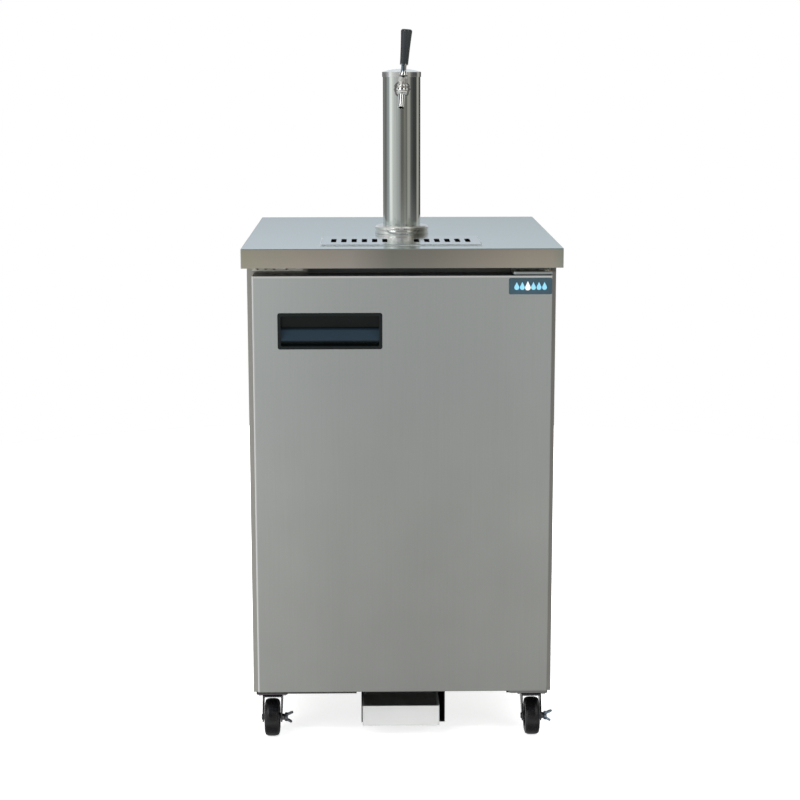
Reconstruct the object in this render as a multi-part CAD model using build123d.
"""Single-tap direct-draw kegerator: an insulated cabinet on casters with a beer tower on its worktop.

Millimetres. +X is to the user's right, +Y towards the back, +Z up.
The origin is on the floor, under the centre of the worktop.
"""

import os
from math import cos, hypot, radians, sin, sqrt, tan

from build123d import *

os.makedirs("parts", exist_ok=True)

# ---------------------------------------------------------------- driving dimensions
TOP_WIDTH, TOP_DEPTH, TOP_THICK = 610.0, 700.0, 37.0
TOP_Z = 1000.0                       # worktop surface above the floor
CAB_WIDTH, CAB_BOTTOM = 598.0, 98.0
CAB_FRONT, CAB_BACK = -272.0, 345.0
CAB_TOP = TOP_Z - TOP_THICK
SKIN = 1.0                           # sheet steel of the shell and the liner
WALL = 45.0                          # insulated wall, skins included
CAVITY_X = CAB_WIDTH / 2 - WALL
CAVITY_FLOOR, CAVITY_CEILING = 146.0, 912.0
CAVITY_BACK_LOW, CAVITY_BACK_HIGH = 153.0, 303.0
MACHINE_FRONT, MACHINE_TOP = 195.0, 391.0
LEDGE_Z = MACHINE_TOP + WALL
FLANGE = 24.0                        # steel return round the front of the shell
BREAKER_DEPTH = 10.0

DOOR_WIDTH, DOOR_THICK = 572.0, 55.0
DOOR_BOTTOM, DOOR_TOP = 119.6, 946.6
DOOR_FRONT = -336.0
DOOR_BACK = DOOR_FRONT + DOOR_THICK
HINGE_X, HINGE_Y = 276.0, -308.0
HINGE_PIN_R, HINGE_CLEARANCE = 5.0, 0.05

TOWER_X, TOWER_Y = 4.0, -28.0
COLUMN_R, COLUMN_WALL = 38.1, 1.2
SHANK_Z = TOP_Z + 292.0
FAUCET_TILT = 4.5                    # the faucet is clamped a few degrees off upright
FAUCET_Y = -97.0                     # upright axis of the faucet body
LEVER_PIVOT_Z = SHANK_Z + 17.0

RAIL_Z = 90.0                        # underside of the base rails
CASTER_X, CASTER_FRONT_Y, CASTER_REAR_Y = 263.0, -227.0, 290.0
WHEEL_R, WHEEL_WIDTH, CASTER_LEAD = 38.0, 30.0, 26.0
AXLE_R = 4.0


# ---------------------------------------------------------------- helpers
def block(x0, x1, y0, y1, z0, z1):
    """A box between two corners."""
    return Pos((x0 + x1) / 2, (y0 + y1) / 2, (z0 + z1) / 2) * Box(x1 - x0, y1 - y0, z1 - z0)


def wide(half_x, y0, y1, z0, z1, x=0.0):
    """A box centred across the width, or about x."""
    return block(x - half_x, x + half_x, y0, y1, z0, z1)


def rod_x(x0, x1, y, z, r):
    """A round bar along X."""
    return Pos((x0 + x1) / 2, y, z) * Rot(0, 90, 0) * Cylinder(r, x1 - x0)


def rod_y(x, y0, y1, z, r):
    """A round bar along Y."""
    return Pos(x, (y0 + y1) / 2, z) * Rot(90, 0, 0) * Cylinder(r, y1 - y0)


def rod_z(x, y, z0, z1, r):
    """A round bar along Z."""
    return Pos(x, y, (z0 + z1) / 2) * Cylinder(r, z1 - z0)


def hex_y(x, y0, y1, z, across):
    """A hexagonal bar along Y, by its width across the flats."""
    sketch = Plane((x, y1, z), z_dir=(0, -1, 0)) * RegularPolygon(across / 2, 6, major_radius=False)
    return extrude(sketch, y1 - y0)


def spun(points, x, y):
    """The solid that (radius, height) points sweep about an upright axis."""
    outline = Plane((x, y, 0), x_dir=(1, 0, 0), z_dir=(0, -1, 0)) * make_face(Polyline(*points, close=True))
    return revolve(outline, Axis((x, y, 0), (0, 0, 1)))


def pipe(points, radii, r):
    """A bar of radius r along straight runs joined by arcs of the given radii."""
    path = FilletPolyline(*points, radius=radii) if len(points) > 2 else Line(*points)
    return sweep(Plane(path @ 0, z_dir=path % 0) * Circle(r), path=path)


def tilted(part):
    """A faucet piece, turned with the faucet about the shank."""
    return Pos(TOWER_X, 0, SHANK_Z) * Rot(0, FAUCET_TILT, 0) * Pos(-TOWER_X, 0, -SHANK_Z) * part


def pan_screw_y(x, y, z, r=3.5, height=2.4):
    """A pan-head screw head on a face that looks to -Y."""
    head = rod_y(x, y - height, y, z, r)
    return head - block(x - r * 0.6, x + r * 0.6, y - height, y - height + 1, z - 0.5, z + 0.5)


fasteners = []                       # screw and bolt heads of the fixed frame, saved together at the end


def save(name, *solids):
    """Writes one node, from one or more separate solids."""
    flat = [s for shape in solids for s in shape.solids()]
    export_step(Compound(children=flat) if len(flat) > 1 else flat[0], f"parts/{name}.step")


# ---------------------------------------------------------------- cabinet
TOWER_HOLE_R, DRAIN_HOLE_R, GAS_PORT_R, LINE_HOLE_R = 25.0, 9.0, 10.0, 14.0
DRAIN_X, DRAIN_Y = 0.0, -175.0
GAS_PORT_X, GAS_PORT_Z = 185.0, 480.0
LINE_HOLE_X, LINE_HOLE_Y = -120.0, 262.0


def cavity(grow=0.0):
    """The stepped inside of the cabinet, larger all round by grow, open at the front."""
    low = wide(CAVITY_X + grow, CAB_FRONT - 5, CAVITY_BACK_LOW + grow,
               CAVITY_FLOOR - grow, CAVITY_CEILING + grow)
    high = wide(CAVITY_X + grow, CAB_FRONT - 5, CAVITY_BACK_HIGH + grow,
                LEDGE_Z - grow, CAVITY_CEILING + grow)
    return low + high


def through_holes(part):
    """Cuts the tower, drain, gas and refrigerant passages."""
    part -= rod_z(TOWER_X, TOWER_Y, CAVITY_CEILING - 20, TOP_Z + 5, TOWER_HOLE_R)
    part -= rod_z(DRAIN_X, DRAIN_Y, CAB_BOTTOM - 5, CAVITY_FLOOR + 10, DRAIN_HOLE_R)
    part -= rod_y(GAS_PORT_X, CAVITY_BACK_HIGH - 10, CAB_BACK + 5, GAS_PORT_Z, GAS_PORT_R)
    part -= rod_z(LINE_HOLE_X, LINE_HOLE_Y, MACHINE_TOP - 10, LEDGE_Z + 10, LINE_HOLE_R)
    return part


def front_ring(outer_x, outer_z0, outer_z1, inner_x, inner_z0, inner_z1, y0, y1):
    """A flat frame that looks to the front."""
    return wide(outer_x, y0, y1, outer_z0, outer_z1) - wide(inner_x, y0 - 1, y1 + 1, inner_z0, inner_z1)


def cabinet():
    """Shell, insulation, liner, breaker frame and keg floor."""
    half = CAB_WIDTH / 2
    inside = half - SKIN
    foam_z0, foam_z1 = CAB_BOTTOM + SKIN, CAB_TOP - SKIN
    frame_x, frame_z0, frame_z1 = half - FLANGE, CAB_BOTTOM + FLANGE, CAB_TOP - FLANGE + 1
    breaker_back = CAB_FRONT + BREAKER_DEPTH

    shell = wide(half, CAB_FRONT, CAB_BACK, CAB_BOTTOM, CAB_TOP)
    shell -= wide(inside, CAB_FRONT + SKIN, MACHINE_FRONT - SKIN, foam_z0, foam_z1)
    shell -= wide(inside, MACHINE_FRONT - 5, CAB_BACK - SKIN, MACHINE_TOP + SKIN, foam_z1)
    shell -= wide(half + 5, MACHINE_FRONT, CAB_BACK + 5, CAB_BOTTOM - 5, MACHINE_TOP)
    shell -= wide(frame_x, CAB_FRONT - 5, CAB_FRONT + 5, frame_z0, frame_z1)
    save("outer_shell", through_holes(shell))

    front, back, low_back = CAB_FRONT + SKIN, CAB_BACK - SKIN, MACHINE_FRONT - SKIN
    split = MACHINE_TOP + SKIN
    room_x, room_z0, room_z1 = CAVITY_X + SKIN, CAVITY_FLOOR - SKIN, CAVITY_CEILING + SKIN
    slabs = [
        wide(room_x, front, low_back, foam_z0, room_z0),
        wide(room_x, CAVITY_BACK_LOW + SKIN, low_back, room_z0, split),
        wide(room_x, CAVITY_BACK_LOW + SKIN, back, split, LEDGE_Z - SKIN),
        wide(room_x, CAVITY_BACK_HIGH + SKIN, back, LEDGE_Z - SKIN, room_z1),
        wide(room_x, front, back, room_z1, foam_z1),
    ]
    for x0, x1 in ((-inside, -room_x), (room_x, inside)):
        slabs.append(block(x0, x1, front, low_back, foam_z0, split))
        slabs.append(block(x0, x1, front, back, split, foam_z1))
    notch = wide(frame_x, CAB_FRONT - 5, breaker_back, frame_z0, frame_z1)
    save("insulation", *[through_holes(slab - notch) for slab in slabs])

    liner = cavity(SKIN) - cavity() - wide(half, CAB_FRONT - 10, breaker_back, 0, TOP_Z)
    save("inner_liner", through_holes(liner))

    save("breaker_frame", front_ring(frame_x, frame_z0, frame_z1, CAVITY_X, CAVITY_FLOOR,
                                     CAVITY_CEILING, CAB_FRONT, breaker_back))

    plate_t, margin = 2.0, 6.0
    plate = wide(CAVITY_X - margin, breaker_back + margin, CAVITY_BACK_LOW - margin,
                 CAVITY_FLOOR, CAVITY_FLOOR + plate_t)
    save("keg_floor_plate", plate - rod_z(DRAIN_X, DRAIN_Y, CAVITY_FLOOR - 5, CAVITY_FLOOR + 9, 16))


# ---------------------------------------------------------------- worktop and drip tray
PAN_X, PAN_FRONT, PAN_BACK, PAN_DEPTH = 148.0, -282.0, -114.0, 24.0
PAN_RIM, PAN_SHEET = 8.0, 0.8
TRAY_X = -1.0                        # middle of the drip tray
GRID_SHEET = 1.0
SLOT_PITCH, SLOT_FIRST_X, SLOT_COUNT = 20.0, 31.0, 6
SLOT_WIDTH, SLOT_FRONT, SLOT_BACK = 10.0, -242.0, -176.0


def worktop():
    """The folded steel top and the board inside it."""
    sheet, lip = 1.2, 12.0
    hx, hy = TOP_WIDTH / 2, TOP_DEPTH / 2
    bottom = TOP_Z - TOP_THICK
    pan_hole = wide(PAN_X + PAN_SHEET, PAN_FRONT - PAN_SHEET, PAN_BACK + PAN_SHEET, bottom - 5, TOP_Z + 5,
                    TRAY_X)
    skin = wide(hx, -hy, hy, bottom, TOP_Z)
    skin = chamfer(skin.edges().filter_by(Axis.Z), 1.0)
    skin = fillet(skin.faces().sort_by(Axis.Z)[-1].edges(), 0.9)
    skin -= wide(hx - sheet, -hy + sheet, hy - sheet, bottom + sheet, TOP_Z - sheet)
    skin -= wide(hx - lip, -hy + lip, hy - lip, bottom - 5, TOP_Z - sheet)
    save("worktop", skin - pan_hole - rod_z(TOWER_X, TOWER_Y, bottom, TOP_Z + 5, TOWER_HOLE_R))

    core = wide(hx - sheet, -hy + sheet, hy - sheet, bottom + sheet, TOP_Z - sheet)
    core += wide(hx - lip, -hy + lip, hy - lip, bottom, TOP_Z - sheet)
    save("worktop_core", core - pan_hole - rod_z(TOWER_X, TOWER_Y, bottom - 5, TOP_Z + 5, TOWER_HOLE_R))


def drip_tray():
    """The pan let into the worktop, and the slotted grid that lies on its rim."""
    rim_top = TOP_Z + PAN_SHEET
    floor = TOP_Z - PAN_DEPTH
    tub = wide(PAN_X + PAN_SHEET, PAN_FRONT - PAN_SHEET, PAN_BACK + PAN_SHEET, floor, rim_top, TRAY_X)
    tub = fillet(tub.edges().filter_by(Axis.Z), 6)
    hollow = wide(PAN_X, PAN_FRONT, PAN_BACK, floor + PAN_SHEET, rim_top + 5, TRAY_X)
    hollow = fillet(hollow.edges().filter_by(Axis.Z), 5)
    rim = wide(PAN_X + PAN_RIM, PAN_FRONT - PAN_RIM, PAN_BACK + PAN_RIM, TOP_Z, rim_top, TRAY_X)
    rim = fillet(rim.edges().filter_by(Axis.Z), 4)
    save("drip_pan", tub + rim - hollow)

    grid_x, grid_y0, grid_y1 = PAN_X + PAN_RIM - 1, PAN_FRONT - PAN_RIM + 1, PAN_BACK + PAN_RIM - 1
    grid = wide(grid_x, grid_y0, grid_y1, rim_top, rim_top + GRID_SHEET, TRAY_X)
    grid = fillet(grid.edges().filter_by(Axis.Z), 3)
    skirt_x, skirt_y0, skirt_y1, skirt_z = PAN_X - 1.5, PAN_FRONT + 1.5, PAN_BACK - 1.5, rim_top - 6
    skirt = wide(skirt_x, skirt_y0, skirt_y1, skirt_z, rim_top, TRAY_X)
    skirt -= wide(skirt_x - 1.2, skirt_y0 + 1.2, skirt_y1 - 1.2, skirt_z - 1, rim_top, TRAY_X)
    skirt = skirt - wide(PAN_X, PAN_FRONT + 8, PAN_BACK - 8, skirt_z - 1, rim_top - 1, TRAY_X)
    grid += skirt
    for side in (-1, 1):
        for n in range(SLOT_COUNT):
            x = TRAY_X + side * (SLOT_FIRST_X + n * SLOT_PITCH)
            slot = block(x - SLOT_WIDTH / 2, x + SLOT_WIDTH / 2, SLOT_FRONT, SLOT_BACK,
                         rim_top - 1, rim_top + 5)
            grid -= fillet(slot.edges().filter_by(Axis.Z), 3)
    save("drip_grid", grid)


# ---------------------------------------------------------------- tower
FLANGE_R, FLANGE_H = 55.0, 15.0
CAP_R, CAP_BASE, CAP_EDGE, CAP_TOP = 39.4, TOP_Z + 315.7, TOP_Z + 325.7, TOP_Z + 331.7
LINE_R, LINE_BORE = 6.0, 3.5


def tower():
    """Flange, column, cap, and the beer line inside."""
    gasket = rod_z(TOWER_X, TOWER_Y, TOP_Z, TOP_Z + 1, FLANGE_R - 1) - rod_z(TOWER_X, TOWER_Y, 990, 1010, TOWER_HOLE_R)
    foot = TOP_Z + 1
    top = foot + FLANGE_H
    flange = spun([(COLUMN_R, foot), (FLANGE_R, foot), (FLANGE_R, foot + 5.5), (FLANGE_R - 1, foot + 6.2),
                   (FLANGE_R - 1, foot + 7.2), (FLANGE_R, foot + 8), (FLANGE_R, top - 2.5),
                   (FLANGE_R - 2.5, top), (COLUMN_R, top)], TOWER_X, TOWER_Y)
    screws = []
    for turn in (45, 135, 225, 315):
        x = TOWER_X + 46.5 * cos(radians(turn))
        y = TOWER_Y + 46.5 * sin(radians(turn))
        flange -= rod_z(x, y, foot - 1, top + 1, 2.6) + rod_z(x, y, top - 3, top + 1, 5)
        socket = Pos(x, y, top) * extrude(RegularPolygon(2, 6), 3, both=True)
        screws.append(rod_z(x, y, top - 3, top - 0.4, 4.8) + rod_z(x, y, foot, top - 3, 2.4) - socket)
    save("tower_flange", flange, gasket)
    fasteners.extend(screws)

    tube = rod_z(TOWER_X, TOWER_Y, foot, CAP_EDGE - 2.7, COLUMN_R)
    tube -= rod_z(TOWER_X, TOWER_Y, foot - 1, CAP_EDGE, COLUMN_R - COLUMN_WALL)
    save("tower_column", tube - rod_y(TOWER_X, TOWER_Y - 60, TOWER_Y, SHANK_Z, 11.2))

    rise = CAP_TOP - CAP_EDGE
    dome_r = (CAP_R ** 2 + rise ** 2) / (2 * rise)
    cap = rod_z(TOWER_X, TOWER_Y, CAP_BASE, CAP_TOP + 1, CAP_R) & Pos(TOWER_X, TOWER_Y, CAP_TOP - dome_r) * Sphere(dome_r)
    save("tower_cap", cap - rod_z(TOWER_X, TOWER_Y, CAP_BASE - 1, CAP_EDGE - 2.7, COLUMN_R))

    line_top, line_bottom = SHANK_Z - 20, CAVITY_CEILING + 12
    line = rod_z(TOWER_X, TOWER_Y, line_bottom, line_top, LINE_R) - rod_z(TOWER_X, TOWER_Y, 900, 1300, LINE_BORE)
    plate_z = CAVITY_CEILING - 4
    fitting = rod_z(TOWER_X, TOWER_Y, plate_z, CAVITY_CEILING, 34)
    fitting += rod_z(TOWER_X, TOWER_Y, CAVITY_CEILING, line_bottom, LINE_R + 4)
    fitting += rod_z(TOWER_X, TOWER_Y, line_bottom, line_bottom + 14, LINE_BORE)
    fitting += Pos(TOWER_X, TOWER_Y, plate_z - 8) * extrude(RegularPolygon(11, 6), 8)
    fitting += rod_z(TOWER_X, TOWER_Y, plate_z - 30, plate_z - 8, 5)
    save("beer_line", line, fitting - rod_z(TOWER_X, TOWER_Y, 850, 960, 2.2))


# ---------------------------------------------------------------- faucet
NUT_FRONT, NUT_BACK, NUT_R = -86.5, -73.5, 16.8
BONNET_Z, BONNET_TOP = SHANK_Z + 14, SHANK_Z + 24
COLLAR_Z = SHANK_Z + 27
FERRULE_TOP, HANDLE_TOP = SHANK_Z + 50, SHANK_Z + 118
SPOUT_LEAN, SPOUT_R, SPOUT_BORE, SPOUT_LENGTH = 25.0, 6.6, 4.6, 35.0
PLUNGER_R, PLUNGER_BORE = 4.4, 5.0


def shank():
    """The threaded shank through the column, its inner nut, its collar and the coupling nut."""
    rod = rod_y(TOWER_X, NUT_FRONT + 8, TOWER_Y - 10, SHANK_Z, 11)
    rod += block(TOWER_X - 9, TOWER_X + 9, TOWER_Y - 10, TOWER_Y + 9, SHANK_Z - 9, SHANK_Z + 9)
    rod += rod_z(TOWER_X, TOWER_Y, SHANK_Z - 20, SHANK_Z - 9, 7.5) + rod_z(TOWER_X, TOWER_Y, SHANK_Z - 36, SHANK_Z - 20, 3.5)
    rod -= rod_y(TOWER_X, NUT_FRONT, TOWER_Y, SHANK_Z, 3)
    rod -= rod_z(TOWER_X, TOWER_Y, SHANK_Z - 40, SHANK_Z, 2.2)
    collar = rod_y(TOWER_X, NUT_BACK + 0.3, -60, SHANK_Z, 15.5) - rod_y(TOWER_X, -90, 0, SHANK_Z, 11)
    collar -= rod_z(TOWER_X, TOWER_Y, SHANK_Z - 30, SHANK_Z + 30, COLUMN_R)
    nut = hex_y(TOWER_X, -59, -50, SHANK_Z, 30) - rod_y(TOWER_X, -70, -40, SHANK_Z, 11)
    washer = rod_y(TOWER_X, -66, -59, SHANK_Z, 15) - rod_y(TOWER_X, -70, -40, SHANK_Z, 11)
    washer &= rod_z(TOWER_X, TOWER_Y, SHANK_Z - 30, SHANK_Z + 30, COLUMN_R - COLUMN_WALL)
    save("faucet_shank", rod, collar, nut, washer)

    ring = rod_y(TOWER_X, NUT_FRONT, NUT_BACK, SHANK_Z, NUT_R)
    ring = chamfer(ring.edges().filter_by(GeomType.CIRCLE), 1.2)
    ring -= rod_y(TOWER_X, NUT_FRONT - 5, NUT_BACK + 5, SHANK_Z, 11)
    for n in range(18):
        turn = radians(20 * n)
        x, z = TOWER_X + (NUT_R + 1.2) * cos(turn), SHANK_Z + (NUT_R + 1.2) * sin(turn)
        ring -= rod_y(x, NUT_FRONT + 2.5, NUT_BACK - 2.5, z, 2.0)
    save("coupling_nut", ring)


def faucet():
    """Body with spout, bonnet, plunger, lever and handle."""
    back = NUT_FRONT + 8
    stem = Pos(TOWER_X, FAUCET_Y, SHANK_Z) * Cylinder(10.5, 22)
    stem = fillet(stem.edges().filter_by(GeomType.CIRCLE), 4)
    body = Pos(TOWER_X, FAUCET_Y, SHANK_Z - 2) * Sphere(11.6) + stem
    body += rod_z(TOWER_X, FAUCET_Y, SHANK_Z, BONNET_Z, 8)
    body += rod_y(TOWER_X, FAUCET_Y, back, SHANK_Z, 11)
    lean = Pos(TOWER_X, FAUCET_Y, SHANK_Z - 4) * Rot(-SPOUT_LEAN, 0, 0)
    body += lean * Pos(0, 0, -SPOUT_LENGTH / 2) * Cylinder(SPOUT_R, SPOUT_LENGTH)
    body -= lean * Pos(0, 0, -SPOUT_LENGTH / 2 - 3) * Cylinder(SPOUT_BORE, SPOUT_LENGTH)
    body -= rod_y(TOWER_X, FAUCET_Y - 7.5, back + 5, SHANK_Z, PLUNGER_BORE)
    body -= rod_z(TOWER_X, FAUCET_Y, SHANK_Z, BONNET_Z + 5, 5.6)
    body -= block(TOWER_X - 3, TOWER_X + 3, FAUCET_Y - 3.5, FAUCET_Y + 9.8, SHANK_Z, SHANK_Z + 9.5)
    save("faucet_body", tilted(body))

    bonnet = spun([(7.0, BONNET_Z), (9.2, BONNET_Z), (9.2, BONNET_TOP - 1.5), (7.7, BONNET_TOP),
                   (7.2, BONNET_TOP), (5.6, BONNET_Z + 2.5)], TOWER_X, FAUCET_Y)
    for n in range(24):
        turn = radians(15 * n)
        bonnet -= rod_z(TOWER_X + 9.9 * cos(turn), FAUCET_Y + 9.9 * sin(turn), BONNET_Z + 1.5, BONNET_TOP - 2.5, 1.1)
    save("faucet_bonnet", tilted(bonnet))

    plunger = rod_y(TOWER_X, FAUCET_Y - 6, FAUCET_Y + 11.5, SHANK_Z, PLUNGER_R)
    plunger -= block(TOWER_X - 2.8, TOWER_X + 2.8, FAUCET_Y - 3.1, FAUCET_Y + 3.1, SHANK_Z - 3, SHANK_Z + 8)
    save("faucet_plunger", tilted(plunger))

    lever = spun([(0, SHANK_Z + 1), (2, SHANK_Z + 1), (2, LEVER_PIVOT_Z - 4), (4.6, LEVER_PIVOT_Z - 2),
                  (4.6, LEVER_PIVOT_Z + 2), (3.4, LEVER_PIVOT_Z + 4), (3.4, COLLAR_Z), (8.4, COLLAR_Z),
                  (8.6, COLLAR_Z + 1.5), (7.6, COLLAR_Z + 5), (5.6, COLLAR_Z + 9), (5.2, COLLAR_Z + 11),
                  (5.2, FERRULE_TOP - 4), (6, FERRULE_TOP - 2), (8.3, FERRULE_TOP - 2),
                  (8.3, FERRULE_TOP), (0, FERRULE_TOP)], TOWER_X, FAUCET_Y)
    lever += Pos(TOWER_X, FAUCET_Y, SHANK_Z + 1.2) * Sphere(2.5)
    save("tap_lever", tilted(lever))

    side = Spline((8.2, FERRULE_TOP), (8.9, FERRULE_TOP + 22), (10.1, FERRULE_TOP + 46), (11.3, HANDLE_TOP - 4))
    end = ThreePointArc((11.3, HANDLE_TOP - 4), (9.6, HANDLE_TOP - 0.9), (6.5, HANDLE_TOP))
    rest = Polyline((6.5, HANDLE_TOP), (0, HANDLE_TOP), (0, FERRULE_TOP), (8.2, FERRULE_TOP))
    outline = Plane((TOWER_X, FAUCET_Y, 0), x_dir=(1, 0, 0), z_dir=(0, -1, 0)) * make_face([side, end, rest])
    save("tap_handle", tilted(revolve(outline, Axis((TOWER_X, FAUCET_Y, 0), (0, 0, 1)))))


# ---------------------------------------------------------------- door
HANDLE_X0, HANDLE_X1, HANDLE_Z0, HANDLE_Z1 = -238.0, -38.0, 806.3, 876.1
POCKET_DEPTH, POCKET_WALL = 31.0, 2.0
CAP_H = 12.0
GASKET_X, GASKET_WIDTH = 275.0, 18.0


def door():
    """Steel skin, foam core, end caps, inner liner and magnetic gasket."""
    half = DOOR_WIDTH / 2
    liner_front = DOOR_BACK - 2
    pocket = block(HANDLE_X0 + 4, HANDLE_X1 - 4, DOOR_FRONT - 5, DOOR_FRONT + POCKET_DEPTH,
                   HANDLE_Z0 + 4, HANDLE_Z1 - 4)

    skin = wide(half, DOOR_FRONT, liner_front, DOOR_BOTTOM, DOOR_TOP)
    skin = fillet(skin.edges().filter_by(Axis.Z).sort_by(Axis.Y)[:2], 2)
    skin -= wide(half - SKIN, DOOR_FRONT + SKIN, DOOR_BACK + 5, DOOR_BOTTOM - 5, DOOR_TOP + 5)
    save("door_skin", skin - pocket)

    inner = half - SKIN
    core = wide(inner, DOOR_FRONT + SKIN, liner_front, DOOR_BOTTOM + CAP_H, DOOR_TOP - CAP_H)
    for z in (DOOR_BOTTOM + CAP_H, DOOR_TOP - CAP_H):
        core -= rod_z(HINGE_X, HINGE_Y, z - 14, z + 14, 9)
    save("door_core", core - pocket)

    caps = []
    for z0, z1, far in ((DOOR_BOTTOM, DOOR_BOTTOM + CAP_H, DOOR_BOTTOM + 24),
                        (DOOR_TOP - CAP_H, DOOR_TOP, DOOR_TOP - 24)):
        cap = wide(inner, DOOR_FRONT + SKIN, DOOR_BACK, z0, z1)
        cap += rod_z(HINGE_X, HINGE_Y, min(far, z0), max(far, z1), 8.9)
        caps.append(cap - rod_z(HINGE_X, HINGE_Y, min(far, z0) - 1, max(far, z1) + 1,
                                HINGE_PIN_R + HINGE_CLEARANCE))
    save("door_caps", *caps)

    panel = wide(half, liner_front, DOOR_BACK, DOOR_BOTTOM + CAP_H, DOOR_TOP - CAP_H)
    plug_back, plug_x = DOOR_BACK + 15, GASKET_X - GASKET_WIDTH - 12
    plug = wide(plug_x, DOOR_BACK, plug_back, CAVITY_FLOOR + 14, CAVITY_CEILING - 14)
    plug = fillet(plug.edges().filter_by(Axis.Y), 14)
    plug = fillet(plug.faces().sort_by(Axis.Y)[-1].edges(), 5)
    dish = wide(plug_x - 30, plug_back - 6, plug_back + 5, CAVITY_FLOOR + 44, CAVITY_CEILING - 44)
    save("door_liner", panel + plug - fillet(dish.edges().filter_by(Axis.Y), 12))

    gasket_z0, gasket_z1 = DOOR_BOTTOM + CAP_H + 0.4, CAVITY_CEILING + 21
    ring = front_ring(GASKET_X, gasket_z0, gasket_z1, GASKET_X - GASKET_WIDTH, gasket_z0 + GASKET_WIDTH,
                      gasket_z1 - GASKET_WIDTH, DOOR_BACK, CAB_FRONT - 0.3)
    bellows = front_ring(GASKET_X + 1, gasket_z0 - 1, gasket_z1 + 1, GASKET_X - 3, gasket_z0 + 3,
                         gasket_z1 - 3, DOOR_BACK + 3, DOOR_BACK + 5.2)
    save("door_gasket", ring - bellows)


def door_handle():
    """The recessed pull: a frame, a pocket and a grip bar across its lower half."""
    lip, face = 1.6, DOOR_FRONT - 1.6
    frame = block(HANDLE_X0, HANDLE_X1, face, DOOR_FRONT, HANDLE_Z0, HANDLE_Z1)
    frame = fillet(frame.edges().filter_by(Axis.Y), 4)
    frame = chamfer(frame.faces().sort_by(Axis.Y)[0].edges(), 0.8)
    box = block(HANDLE_X0 + 4, HANDLE_X1 - 4, DOOR_FRONT - lip / 2, DOOR_FRONT + POCKET_DEPTH,
                HANDLE_Z0 + 4, HANDLE_Z1 - 4)
    x0, x1 = HANDLE_X0 + 4 + POCKET_WALL, HANDLE_X1 - 4 - POCKET_WALL
    z0, z1 = HANDLE_Z0 + 4 + POCKET_WALL, HANDLE_Z1 - 4 - POCKET_WALL
    hollow = block(x0, x1, DOOR_FRONT - 10, DOOR_FRONT + POCKET_DEPTH - POCKET_WALL, z0, z1)
    pull = frame + box - fillet(hollow.edges().filter_by(Axis.Y), 3)
    middle, low = HANDLE_Z0 + 36, HANDLE_Z0 + 17
    grip = Polyline((middle, DOOR_FRONT + 13), (low, DOOR_FRONT + 0.5), (low - 3, DOOR_FRONT + 1.2),
                    (z0 - 0.5, DOOR_FRONT + 9), (z0 - 0.5, DOOR_FRONT + 12), (low + 1, DOOR_FRONT + 5),
                    (middle - 2.5, DOOR_FRONT + 16), close=True)
    section = Plane((x1 + 0.5, 0, 0), x_dir=(0, 0, 1), z_dir=(-1, 0, 0)) * make_face(grip)
    bar = extrude(section, x1 - x0 + 1)
    save("door_handle", pull + bar)


def badge():
    """A blank name plate at the top corner of the door."""
    plate = block(203, 285.5, DOOR_FRONT - 1.5, DOOR_FRONT, 911, 942)
    plate = fillet(plate.edges().filter_by(Axis.Y), 3)
    save("badge", chamfer(plate.faces().sort_by(Axis.Y)[0].edges(), 0.5))


# ---------------------------------------------------------------- hinges and fixings
BRACKET_X0, BRACKET_X1, BRACKET_T = 211.0, 288.0, 5.0
BRACKET_SCREWS = (224.0, 243.0, 262.0)
BLANK_SCREWS = (-278.0, -262.0, -246.0, -222.0)
BLANK_Z = 956.0


def hinges():
    """The pivot brackets above and below the door, and the plate over the spare hinge holes."""
    def pin(z0, z1):
        return rod_z(HINGE_X, HINGE_Y, z0, z1, HINGE_PIN_R)

    leg = 3.0
    upper_z = DOOR_TOP + 1.6
    upper = block(BRACKET_X0, BRACKET_X1, DOOR_FRONT + 6, CAB_FRONT, upper_z, upper_z + BRACKET_T)
    upper = fillet(upper.edges().filter_by(Axis.Z).sort_by(Axis.Y)[:2], 6)
    upper += block(BRACKET_X0, BRACKET_X1, CAB_FRONT - leg, CAB_FRONT, upper_z, CAB_TOP - 1)
    save("hinge_bracket_top", upper + pin(DOOR_TOP - 20, upper_z + BRACKET_T + 1.5))

    lower_z = DOOR_BOTTOM - 1.6
    lower = block(BRACKET_X0, BRACKET_X1, DOOR_FRONT + 6, CAB_FRONT, lower_z - BRACKET_T, lower_z)
    lower = fillet(lower.edges().filter_by(Axis.Z).sort_by(Axis.Y)[:2], 6)
    lower += block(BRACKET_X0, BRACKET_X1, CAB_FRONT - leg, CAB_FRONT, CAB_BOTTOM + 1, lower_z)
    save("hinge_bracket_bottom", lower + pin(lower_z - BRACKET_T - 1.5, DOOR_BOTTOM + 20))

    blank = block(-288, -190, CAB_FRONT - 1.5, CAB_FRONT, DOOR_TOP + 3, CAB_TOP - 1)
    save("spare_hinge_plate", blank)

    heads = [pan_screw_y(x, CAB_FRONT - leg, BLANK_Z + 2) for x in BRACKET_SCREWS]
    heads += [pan_screw_y(x, CAB_FRONT - leg, CAB_BOTTOM + 8) for x in BRACKET_SCREWS]
    heads += [pan_screw_y(x, CAB_FRONT - 1.5, BLANK_Z) for x in BLANK_SCREWS]
    for x in (-280, -95, 95, 280):
        for z in (CAB_BOTTOM + 10, MACHINE_TOP - 10):
            heads.append(mirror(pan_screw_y(x, -CAB_BACK, z), Plane.XZ))
    fasteners.extend(heads)


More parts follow.
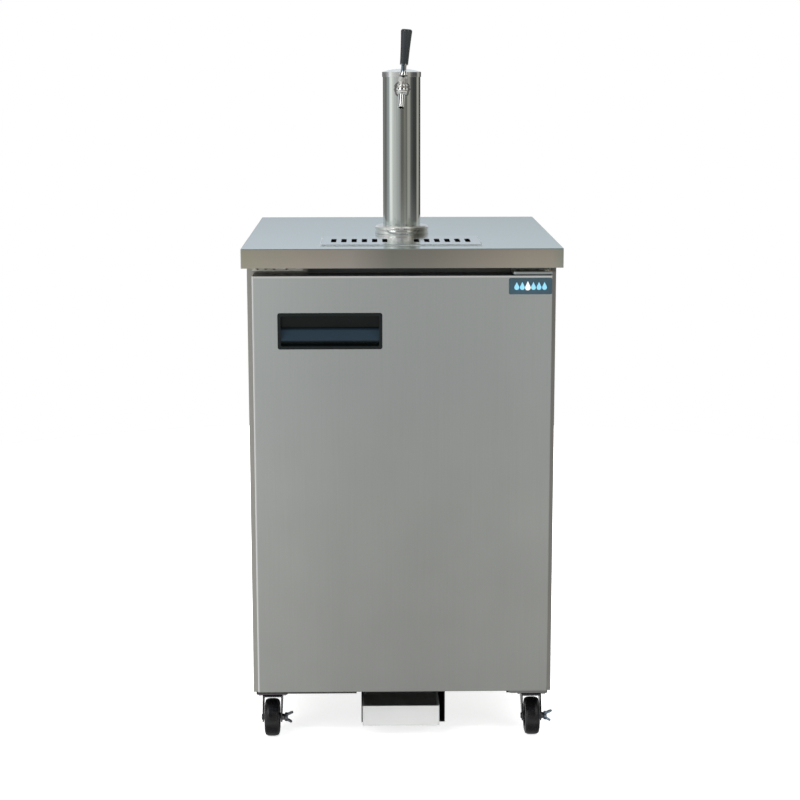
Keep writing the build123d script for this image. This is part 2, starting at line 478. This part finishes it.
# ---------------------------------------------------------------- refrigeration
COMPRESSOR_X, MACHINE_Y = 130.0, 269.0
BASE_TOP = CAB_BOTTOM + SKIN + 3
CAN_Z, CAN_HEIGHT = BASE_TOP + 14, 150.0
COIL_X0, COIL_X1, COIL_Z0, COIL_Z1 = -272.0, -212.0, 112.0, 330.0
SHROUD_X = -200.0
FAN_Z, FAN_R = 221.0, 54.0
PIPE_R = 3.2
TUBE_X0, TUBE_X1, TUBE_Y, TUBE_TOP = -128.0, -113.0, 286.0, 592.0


def fan(hub_r, tip_r, width, blades, pitch):
    """An axial fan about Z, centred at the origin, with a bore for its motor shaft."""
    wheel = Cylinder(hub_r, width)
    for n in range(blades):
        reach = tip_r - hub_r + 2
        blade = Pos(hub_r - 2 + reach / 2, 0, 0) * Rot(pitch, 0, 0) * Box(reach, tip_r * 0.62, 1.6)
        wheel += Rot(0, 0, 360 / blades * n) * blade
    return (wheel & Cylinder(tip_r, width * 2)) - Pos(0, 0, -1) * Cylinder(3.05, width)


def condensing_unit():
    """Compressor, condenser, its fan, and the base they stand on."""
    half = CAB_WIDTH / 2
    housing = [block(side * half - SKIN * (side + 1) / 2, side * half - SKIN * (side - 1) / 2,
                     MACHINE_FRONT, CAB_BACK, CAB_BOTTOM, MACHINE_TOP) for side in (-1, 1)]
    housing.append(wide(half - SKIN, MACHINE_FRONT, CAB_BACK, CAB_BOTTOM, CAB_BOTTOM + SKIN))
    base = block(-290, 290, MACHINE_FRONT + 2, CAB_BACK - 8, CAB_BOTTOM + SKIN, BASE_TOP)
    feet = [rod_z(COMPRESSOR_X + dx, MACHINE_Y + dy, BASE_TOP, CAN_Z - 4, 10)
            for dx in (-86, 86) for dy in (-48, 48)]
    save("machine_base", base, *feet, *housing)

    can = extrude(Pos(COMPRESSOR_X, MACHINE_Y, CAN_Z + 4) * RectangleRounded(176, 122, 56), CAN_HEIGHT)
    can = fillet(can.faces().sort_by(Axis.Z)[-1].edges(), 32)
    can = fillet(can.faces().sort_by(Axis.Z)[0].edges(), 14)
    seam = extrude(Pos(COMPRESSOR_X, MACHINE_Y, CAN_Z + 70) * RectangleRounded(181, 127, 58), 6)
    foot = extrude(Pos(COMPRESSOR_X, MACHINE_Y, CAN_Z - 4) * RectangleRounded(200, 124, 14), 8)
    box = block(COMPRESSOR_X - 118, COMPRESSOR_X - 89, MACHINE_Y - 28, MACHINE_Y + 28, CAN_Z + 30, CAN_Z + 96)
    box = fillet(box.edges().filter_by(Axis.X), 6) - can - seam
    save("compressor", can + seam + foot, box)

    y0, y1 = MACHINE_FRONT + 12, CAB_BACK - 22
    coil = block(COIL_X0, COIL_X1, y0, y1, COIL_Z0, COIL_Z1)
    fins = 30
    gap = (COIL_Z1 - COIL_Z0) / fins
    for n in range(fins):
        z = COIL_Z0 + gap * (n + 0.5)
        coil -= block(COIL_X0 - 1, COIL_X0 + 24, y0 + 3, y1 - 3, z - gap * 0.3, z + gap * 0.3)
        coil -= block(COIL_X1 - 24, COIL_X1 + 1, y0 + 3, y1 - 3, z - gap * 0.3, z + gap * 0.3)
    save("condenser_coil", coil)

    shroud = block(COIL_X1, COIL_X1 + 2, y0, y1, COIL_Z0, COIL_Z1)
    shroud += block(COIL_X1, SHROUD_X + 8, y0, y1, COIL_Z0, COIL_Z1) - block(
        COIL_X1 + 2, SHROUD_X + 20, y0 + 2, y1 - 2, COIL_Z0 + 2, COIL_Z1 - 2)
    shroud -= rod_x(COIL_X1 - 5, SHROUD_X, MACHINE_Y - 4, FAN_Z, FAN_R + 2)
    motor_x = SHROUD_X + 18
    arms = block(motor_x, motor_x + 2, y0, y1, FAN_Z - 7, FAN_Z + 7)
    for y in (y0, y1 - 2):
        arms += block(SHROUD_X + 8, motor_x + 2, y, y + 2, FAN_Z - 7, FAN_Z + 7)
    motor = fillet(rod_x(motor_x + 2, motor_x + 42, MACHINE_Y - 4, FAN_Z, 26).edges(), 4)
    motor += rod_x(SHROUD_X - 0.8, motor_x + 4, MACHINE_Y - 4, FAN_Z, 3)
    save("condenser_fan_motor", motor + arms, shroud)
    blades = Pos(SHROUD_X + 5, MACHINE_Y - 4, FAN_Z) * Rot(0, -90, 0) * fan(14, FAN_R, 14, 5, 28)
    save("condenser_fan", blades)


def refrigerant_lines():
    """Copper tubes between the compressor, condenser and evaporator, and the filter drier."""
    x0, x1 = COMPRESSOR_X - 50, COMPRESSOR_X + 40
    top = CAN_Z + 4 + CAN_HEIGHT
    inlet_x, drier_x, drier_y = COIL_X1 - 25, -155, 310
    discharge = pipe([(x0, 245, top), (x0, 245, top + 100), (inlet_x, 245, top + 100),
                      (inlet_x, 245, COIL_Z1)], [12, 12], PIPE_R)
    suction = pipe([(x1, 290, top), (x1, 290, top + 80), (TUBE_X1, LINE_HOLE_Y, top + 80),
                    (TUBE_X1, LINE_HOLE_Y, LEDGE_Z + 45), (TUBE_X1, TUBE_Y, LEDGE_Z + 75),
                    (TUBE_X1, TUBE_Y, TUBE_TOP)], [14, 14, 14, 14], PIPE_R)
    drier = rod_z(drier_x, drier_y, 150, 250, 10)
    drier = fillet(drier.edges().filter_by(GeomType.CIRCLE), 5)
    liquid = pipe([(drier_x, drier_y, 250), (drier_x, drier_y, 330), (TUBE_X0, LINE_HOLE_Y, 360),
                   (TUBE_X0, LINE_HOLE_Y, LEDGE_Z + 45), (TUBE_X0, TUBE_Y, LEDGE_Z + 75),
                   (TUBE_X0, TUBE_Y, TUBE_TOP)], [14, 14, 14, 14], 1.6)
    feed = pipe([(drier_x, drier_y, 150), (drier_x, drier_y, 122), (drier_x - 20, 329, 122),
                 (COIL_X1 - 18, 329, 122), (COIL_X1 - 18, 323, 122)], [8, 8, 4], PIPE_R)
    save("refrigerant_lines", discharge, suction, drier, liquid, feed)


# ---------------------------------------------------------------- evaporator
COVER_X, COVER_FRONT, COVER_Z0, COVER_Z1 = 236.0, 196.0, 560.0, 904.0
EVAP_FAN_X, EVAP_FAN_Z, EVAP_FAN_R = 40.0, 760.0, 62.0
KNOB_X, KNOB_Z, KNOB_R = -180.0, 600.0, 15.0


def evaporator():
    """Coil, fan, and the cover with its guard and thermostat."""
    y_back = CAVITY_BACK_HIGH
    cover = wide(COVER_X, COVER_FRONT, y_back, COVER_Z0, COVER_Z1)
    cover = fillet(cover.faces().sort_by(Axis.Y)[0].edges(), 8)
    cover -= wide(COVER_X - 2, COVER_FRONT + 2, y_back + 5, COVER_Z0 + 2, COVER_Z1 - 2)
    cover -= rod_y(EVAP_FAN_X, COVER_FRONT - 5, COVER_FRONT + 5, EVAP_FAN_Z, EVAP_FAN_R + 4)
    for n in range(9):
        x = -200 + n * 22
        cover -= block(x, x + 10, COVER_FRONT - 5, COVER_FRONT + 5, COVER_Z0 + 90, COVER_Z1 - 60) \
            if x < EVAP_FAN_X - EVAP_FAN_R - 20 else block(0, 1, 0, 1, 0, 1)
    for x in (TUBE_X0, TUBE_X1):
        cover -= rod_z(x, TUBE_Y, COVER_Z0 - 5, COVER_Z0 + 5, 5)
    for r in (16, 28, 40, 52, 64):
        cover += rod_y(EVAP_FAN_X, COVER_FRONT, COVER_FRONT + 2, EVAP_FAN_Z, r + 1) \
            - rod_y(EVAP_FAN_X, COVER_FRONT - 1, COVER_FRONT + 3, EVAP_FAN_Z, r - 1)
    for turn in (0, 60, 120):
        spoke = Box(2 * (EVAP_FAN_R + 5), 2, 2.4)
        cover += Pos(EVAP_FAN_X, COVER_FRONT + 1, EVAP_FAN_Z) * Rot(0, turn, 0) * spoke
    save("evaporator_cover", cover)

    motor = rod_y(EVAP_FAN_X, COVER_FRONT + 30, COVER_FRONT + 62, EVAP_FAN_Z, 24)
    motor = fillet(motor.edges(), 3)
    motor += rod_y(EVAP_FAN_X, COVER_FRONT + 12, COVER_FRONT + 32, EVAP_FAN_Z, 3)
    motor += block(EVAP_FAN_X - 6, EVAP_FAN_X + 6, COVER_FRONT + 60, COVER_FRONT + 62,
                   EVAP_FAN_Z - 90, EVAP_FAN_Z + 90)
    for z in (EVAP_FAN_Z - 90, EVAP_FAN_Z + 88):
        motor += block(EVAP_FAN_X - 6, EVAP_FAN_X + 6, COVER_FRONT + 2, COVER_FRONT + 62, z, z + 2)
    save("evaporator_fan_motor", motor)
    blades = Pos(EVAP_FAN_X, COVER_FRONT + 17, EVAP_FAN_Z) * Rot(90, 0, 0) * fan(15, EVAP_FAN_R, 16, 5, 26)
    save("evaporator_fan", blades)

    coil = wide(205, 268, y_back, 592, 880)
    fins = 41
    for n in range(fins):
        x = -205 + 410 / fins * (n + 0.5)
        coil -= block(x - 3, x + 3, 260, 292, 597, 875)
    save("evaporator_coil", coil)

    base = block(KNOB_X - 26, KNOB_X + 26, COVER_FRONT - 4, COVER_FRONT, KNOB_Z - 26, KNOB_Z + 26)
    base = fillet(base.edges().filter_by(Axis.Y), 6) + rod_y(KNOB_X, COVER_FRONT - 14, COVER_FRONT, KNOB_Z, 3)
    save("thermostat_plate", base)
    knob = rod_y(KNOB_X, COVER_FRONT - 17, COVER_FRONT - 4.3, KNOB_Z, KNOB_R)
    for n in range(12):
        turn = radians(30 * n)
        knob -= rod_y(KNOB_X + (KNOB_R + 1) * cos(turn), COVER_FRONT - 20, COVER_FRONT - 7,
                      KNOB_Z + (KNOB_R + 1) * sin(turn), 2.2)
    knob += block(KNOB_X - 1.5, KNOB_X + 1.5, COVER_FRONT - 19, COVER_FRONT - 17, KNOB_Z, KNOB_Z + 13)
    save("thermostat_knob", knob - rod_y(KNOB_X, COVER_FRONT - 14.5, COVER_FRONT, KNOB_Z, 3.05))


# ---------------------------------------------------------------- back, ports and drain
TRAY_X0, TRAY_X1, TRAY_Z0, TRAY_Z1 = -80.0, 74.6, 31.0, 73.0
TRAY_FRONT, TRAY_LENGTH, TRAY_WALL = -290.0, 190.0, 2.0
HOLDER_X0, HOLDER_X1, HOLDER_FRONT, HOLDER_T = -82.5, 86.5, -263.0, 1.5


def back_panel():
    """The slotted cover of the machine compartment, the power gland and the gas port bush."""
    half = CAB_WIDTH / 2 - SKIN
    panel = block(-half, half, CAB_BACK - 2, CAB_BACK, CAB_BOTTOM + SKIN, MACHINE_TOP)
    for column in (-225, -135, -45, 45, 135, 225):
        for n in range(9):
            z = CAB_BOTTOM + 42 + n * 26
            panel -= block(column - 36, column + 36, CAB_BACK - 5, CAB_BACK + 5, z, z + 9)
    gland_x, gland_z = 262.0, CAB_BOTTOM + 26
    save("rear_grille", panel - rod_y(gland_x, CAB_BACK - 5, CAB_BACK + 5, gland_z, 8))
    gland = rod_y(gland_x, CAB_BACK - 10, CAB_BACK, gland_z, 8) + rod_y(gland_x, CAB_BACK, CAB_BACK + 4.5, gland_z, 12)
    gland -= rod_y(gland_x, CAB_BACK - 20, CAB_BACK + 20, gland_z, 4)

    bush = rod_y(GAS_PORT_X, CAVITY_BACK_HIGH, CAB_BACK, GAS_PORT_Z, GAS_PORT_R)
    bush += rod_y(GAS_PORT_X, CAB_BACK, CAB_BACK + 3, GAS_PORT_Z, 15)
    bush += rod_y(GAS_PORT_X, CAVITY_BACK_HIGH - 3, CAVITY_BACK_HIGH, GAS_PORT_Z, 15)
    save("rear_bushes", gland, bush - rod_y(GAS_PORT_X, 200, 400, GAS_PORT_Z, 8))


def drain():
    """The floor drain, the black holder under the cabinet and the white tray that slides out of it."""
    tube = rod_z(DRAIN_X, DRAIN_Y, TRAY_Z1 + 6, CAVITY_FLOOR + 1, DRAIN_HOLE_R)
    tube += rod_z(DRAIN_X, DRAIN_Y, CAVITY_FLOOR, CAVITY_FLOOR + 1, 14)
    save("drain_tube", tube - rod_z(DRAIN_X, DRAIN_Y, 50, 160, 6.5))

    back = TRAY_FRONT + TRAY_LENGTH + 6
    bottom = TRAY_Z0 - HOLDER_T - 0.3
    holder = block(HOLDER_X0, HOLDER_X1, HOLDER_FRONT, back, bottom, CAB_BOTTOM)
    holder -= block(HOLDER_X0 + HOLDER_T, HOLDER_X1 - HOLDER_T, HOLDER_FRONT - 5, back - HOLDER_T,
                    bottom + HOLDER_T, CAB_BOTTOM + 5)
    for x in (HOLDER_X0 - 8, HOLDER_X1 - 1):
        holder += block(x, x + 9, HOLDER_FRONT, back, CAB_BOTTOM - HOLDER_T, CAB_BOTTOM)
    save("tray_holder", holder)

    tray = block(TRAY_X0, TRAY_X1, TRAY_FRONT, TRAY_FRONT + TRAY_LENGTH, TRAY_Z0, TRAY_Z1)
    tray = fillet(tray.edges().filter_by(Axis.Z), 3)
    hollow = block(TRAY_X0 + TRAY_WALL, TRAY_X1 - TRAY_WALL, TRAY_FRONT + TRAY_WALL,
                   TRAY_FRONT + TRAY_LENGTH - TRAY_WALL, TRAY_Z0 + TRAY_WALL, TRAY_Z1 + 5)
    save("drain_tray", tray - fillet(hollow.edges().filter_by(Axis.Z), 2))


# ---------------------------------------------------------------- casters
PLATE_HALF, PLATE_T = 32.0, 3.0
CROWN_Z0, CROWN_Z1 = 78.5, 81.5
FORK_INNER, FORK_T = 17.5, 2.5
CASTERS = {
    "front_left": (-CASTER_X, CASTER_FRONT_Y),
    "front_right": (CASTER_X, CASTER_FRONT_Y),
    "rear_left": (-CASTER_X, CASTER_REAR_Y),
    "rear_right": (CASTER_X, CASTER_REAR_Y),
}


def base_rails():
    """The folded rails that carry the casters."""
    def rail(x0, x1, y):
        reach, sheet = 35.0, 2.0
        shape = block(x0, x1, y - reach, y + reach, RAIL_Z, CAB_BOTTOM)
        return shape - block(x0 + sheet, x1 - sheet, y - reach + sheet, y + reach - sheet,
                             RAIL_Z + sheet, CAB_BOTTOM + 5)

    edge = CASTER_X + PLATE_HALF - 7
    save("base_rails", rail(-edge, -92, CASTER_FRONT_Y), rail(BRACKET_X0, edge, CASTER_FRONT_Y),
         rail(-edge, edge, CASTER_REAR_Y))


def caster_plates():
    """The plates bolted under the rails, with the king pins the forks turn on."""
    plates, bolts = [], []
    for x, y in CASTERS.values():
        plate = extrude(Pos(x, y, RAIL_Z - PLATE_T) * RectangleRounded(2 * PLATE_HALF, 2 * PLATE_HALF, 6), PLATE_T)
        plate += rod_z(x, y, CROWN_Z1 + 0.3, RAIL_Z - PLATE_T, 20)
        plate += rod_z(x, y, 73.5, RAIL_Z - PLATE_T, HINGE_PIN_R) + rod_z(x, y, 73.5, 77.8, 8.5)
        plates.append(plate)
        for dx in (-24, 24):
            for dy in (-24, 24):
                bolts.append(Pos(x + dx, y + dy, RAIL_Z - PLATE_T - 3) * extrude(RegularPolygon(5, 6), 3))
    fasteners.extend(bolts)
    save("caster_plates", *plates)


def caster_fork(x, y):
    """The swivelling fork with its axle."""
    axle_y, axle_z = y - CASTER_LEAD, WHEEL_R
    outer = FORK_INNER + FORK_T
    crown = block(x - outer, x + outer, y - 24, y + 22, CROWN_Z0, CROWN_Z1)
    crown -= rod_z(x, y, CROWN_Z0 - 5, CROWN_Z1 + 5, HINGE_PIN_R + HINGE_CLEARANCE)
    fork = crown
    for side in (-1, 1):
        near, far = sorted((side * FORK_INNER, side * outer))
        outline = Polyline((y + 22, CROWN_Z1), (y + 20, CROWN_Z1 - 14), (axle_y + 13, axle_z + 4),
                           (axle_y + 9, axle_z - 8), (axle_y - 9, axle_z - 8), (axle_y - 10, axle_z + 8),
                           (y - 24, CROWN_Z1 - 8), (y - 24, CROWN_Z1), close=True)
        leg = extrude(Plane((x + near, 0, 0), x_dir=(0, 1, 0), z_dir=(1, 0, 0)) * make_face(outline), far - near)
        fork += leg
    fork -= rod_x(x - 30, x + 30, axle_y, axle_z, AXLE_R)
    axle = rod_x(x - outer - 1, x + outer + 8, axle_y, axle_z, AXLE_R)
    nut = Plane((x + outer, axle_y, axle_z), z_dir=(1, 0, 0)) * RegularPolygon(7, 6)
    axle += extrude(nut, 4.5) + chamfer(rod_x(x - outer - 2, x - outer, axle_y, axle_z, 6).edges().sort_by(Axis.X)[0], 0.8)
    return fork, axle


def caster_wheel(x, y):
    """A hard rubber tyre on a plastic rim."""
    half = WHEEL_WIDTH / 2
    rim_r = WHEEL_R * 0.66
    tread = [(rim_r, -half + 2), (WHEEL_R - 8, -half), (WHEEL_R - 3, -half + 1.5), (WHEEL_R - 0.8, -half + 5),
             (WHEEL_R, -half + 10), (WHEEL_R, half - 10), (WHEEL_R - 0.8, half - 5),
             (WHEEL_R - 3, half - 1.5), (WHEEL_R - 8, half), (rim_r, half - 2)]
    hub = [(AXLE_R + 0.05, -half - 1.5), (9, -half - 1.5), (10, -half + 4), (rim_r - 4, -half + 5),
           (rim_r - 3, -half + 1), (rim_r, -half + 1), (rim_r, half - 1), (rim_r - 3, half - 1),
           (rim_r - 4, half - 5), (10, half - 4), (9, half + 1.5), (AXLE_R + 0.05, half + 1.5)]
    place = Pos(x, y - CASTER_LEAD, WHEEL_R) * Rot(0, 90, 0)
    return place * spun(tread, 0, 0), place * spun(hub, 0, 0)


def brake_lever(x, y):
    """The winged side lever of a front caster's brake."""
    axle_y, axle_z = y - CASTER_LEAD, WHEEL_R
    start = x + FORK_INNER + FORK_T + 5
    hub = rod_x(start, start + 6, axle_y, axle_z, 9)
    hub = chamfer(hub.edges().filter_by(GeomType.CIRCLE), 1)
    lever = hub
    for side, angle, reach in ((1, 24, 14.5), (-1, 30, 12.5)):
        wing = extrude(SlotOverall(reach + 3, 11), 1.4, both=True)
        root = Pos(start + 3, axle_y, axle_z + side * 4.5) * Rot(0, -side * angle, 0)
        lever += root * Pos(reach / 2 - 1, 0, 0) * wing
    return lever - rod_x(start - 5, start + 3.6, axle_y, axle_z, AXLE_R + 0.05)


def casters():
    """Four casters; the front two have brakes."""
    base_rails()
    caster_plates()
    for name, (x, y) in CASTERS.items():
        save(f"caster_fork_{name}", *caster_fork(x, y))
        save(f"caster_wheel_{name}", *caster_wheel(x, y))
        if name.startswith("front"):
            save(f"brake_lever_{name[6:]}", brake_lever(x, y))


cabinet()
worktop()
drip_tray()
tower()
shank()
faucet()
door()
door_handle()
badge()
hinges()
condensing_unit()
refrigerant_lines()
evaporator()
back_panel()
drain()
casters()
save("fasteners", *fasteners)
